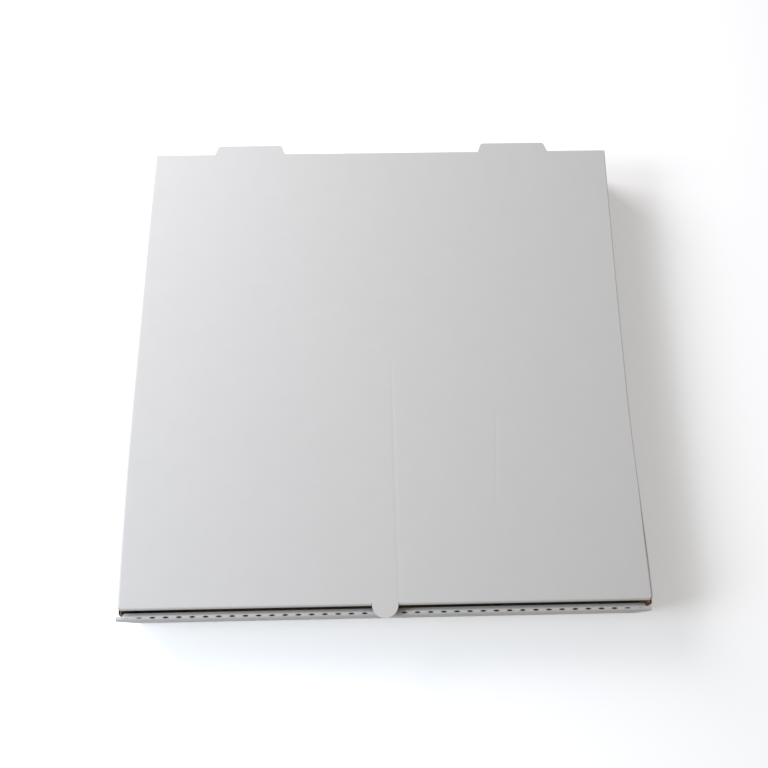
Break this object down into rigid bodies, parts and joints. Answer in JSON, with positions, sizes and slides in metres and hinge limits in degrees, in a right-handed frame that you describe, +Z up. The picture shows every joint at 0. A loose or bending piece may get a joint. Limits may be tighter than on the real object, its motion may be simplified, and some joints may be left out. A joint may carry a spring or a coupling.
{
  "type": "pizza box",
  "caption": "Flat square folded box of white fluted board with a hinged lid, a rolled-over front wall, a thumb tab and rear tabs that open vents; it carries a hot flat food.",
  "frame": {"origin": "middle of the tray's underside, on the table plane", "axes": "+Z up, +Y from the front wall towards the hinge crease, +X to the right seen from the front"},
  "size_m": [0.322, 0.3278, 0.04],
  "materials": {
    "tray_board": "matt white outer liner",
    "lid_board": "matt white outer liner"
  },
  "bodies": {
    "base_tray": {"base_tray": "tray_board"},
    "lid": {"lid": "lid_board"}
  },
  "joints": [
    {"name": "lid_hinge", "type": "hinge", "parent": "base_tray", "child": "lid", "pos_m": [0, 0.15925, 0.03925], "axis": [-1, 0, 0], "range_deg": [0, 179]}
  ]
}
